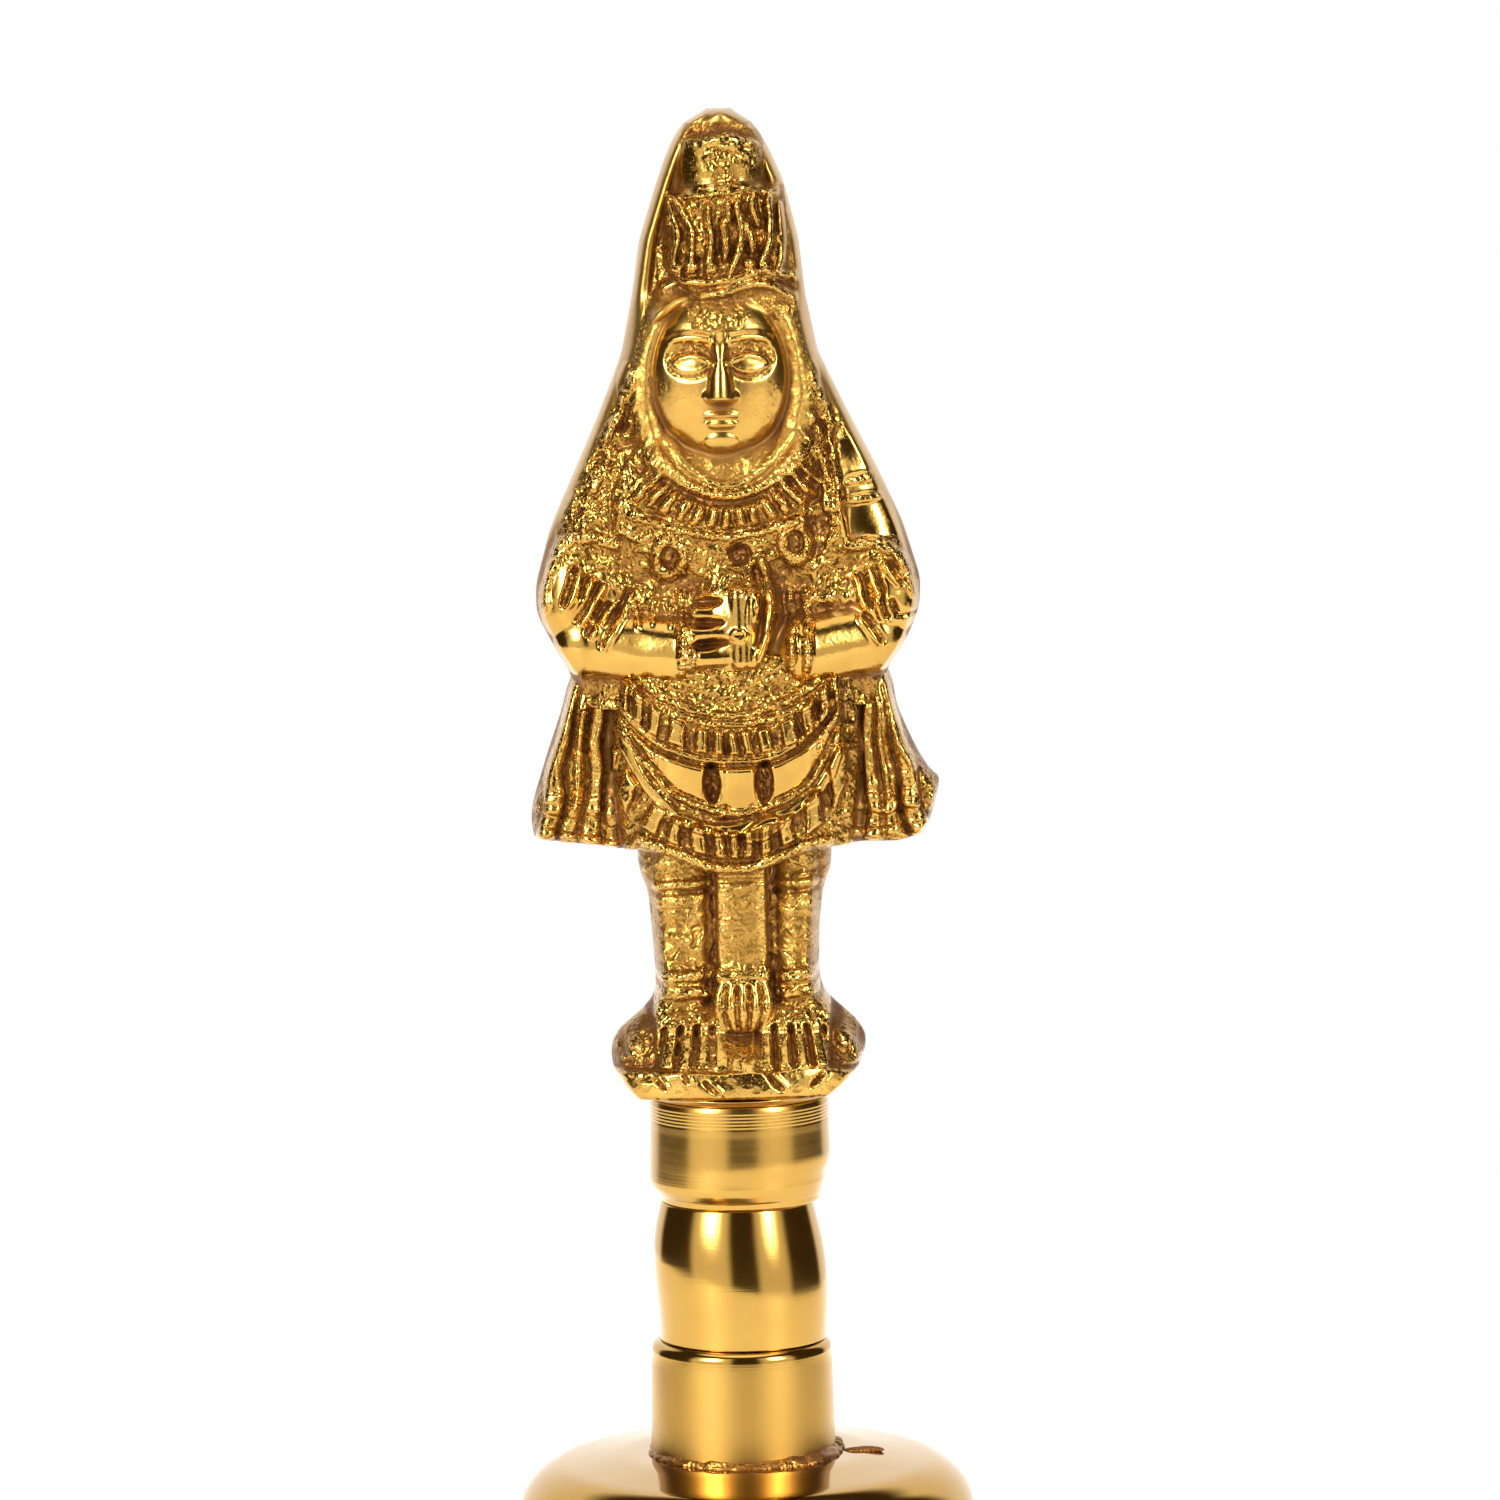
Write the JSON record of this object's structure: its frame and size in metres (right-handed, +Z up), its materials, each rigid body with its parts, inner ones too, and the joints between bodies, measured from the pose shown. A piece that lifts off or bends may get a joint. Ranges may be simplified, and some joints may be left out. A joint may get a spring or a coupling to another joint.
{
  "type": "brass puja bell",
  "caption": "Hand bell for worship: flared brass cup with a hooked clapper, turned stem and a cast handle figure with folded hands.",
  "frame": {"origin": "centre of the cup's mouth, on the plane of the rim", "axes": "+Z up the handle, and the figure faces -Y"},
  "size_m": [0.074, 0.074, 0.1598],
  "materials": {
    "cast_brass": "cast, rough ground with brown in the recesses and worn bright high spots",
    "turned_brass": "turned and hand polished",
    "bell_brass": "turned and hand polished, with fine lathe lines",
    "braze": "rough filler metal, darkened by heat",
    "steel": "zinc plated, dull",
    "clapper_iron": "dull forged iron",
    "clapper_brass": "turned, with strike marks"
  },
  "bodies": {
    "bell": {"figure": "cast_brass", "upper_braze": "braze", "upper_collar": "turned_brass", "waist_sleeve": "turned_brass", "lower_collar": "turned_brass", "lower_braze": "braze", "bell_cup": "bell_brass", "eye_bolt": "steel", "crown_washer": "steel", "crown_nut": "steel"},
    "link": {"clapper_link": "steel"},
    "clapper": {"clapper_rod": "clapper_iron", "clapper_ball": "clapper_brass"}
  },
  "joints": [
    {"name": "link_swing", "type": "hinge", "parent": "bell", "child": "link", "pos_m": [0, 0, 0.04825], "axis": [1, 0, 0], "range_deg": [-27.3, 27.3]},
    {"name": "clapper_swing", "type": "hinge", "parent": "link", "child": "clapper", "pos_m": [0, 0, 0.04285], "axis": [0, 1, 0], "range_deg": [-8, 8]}
  ]
}
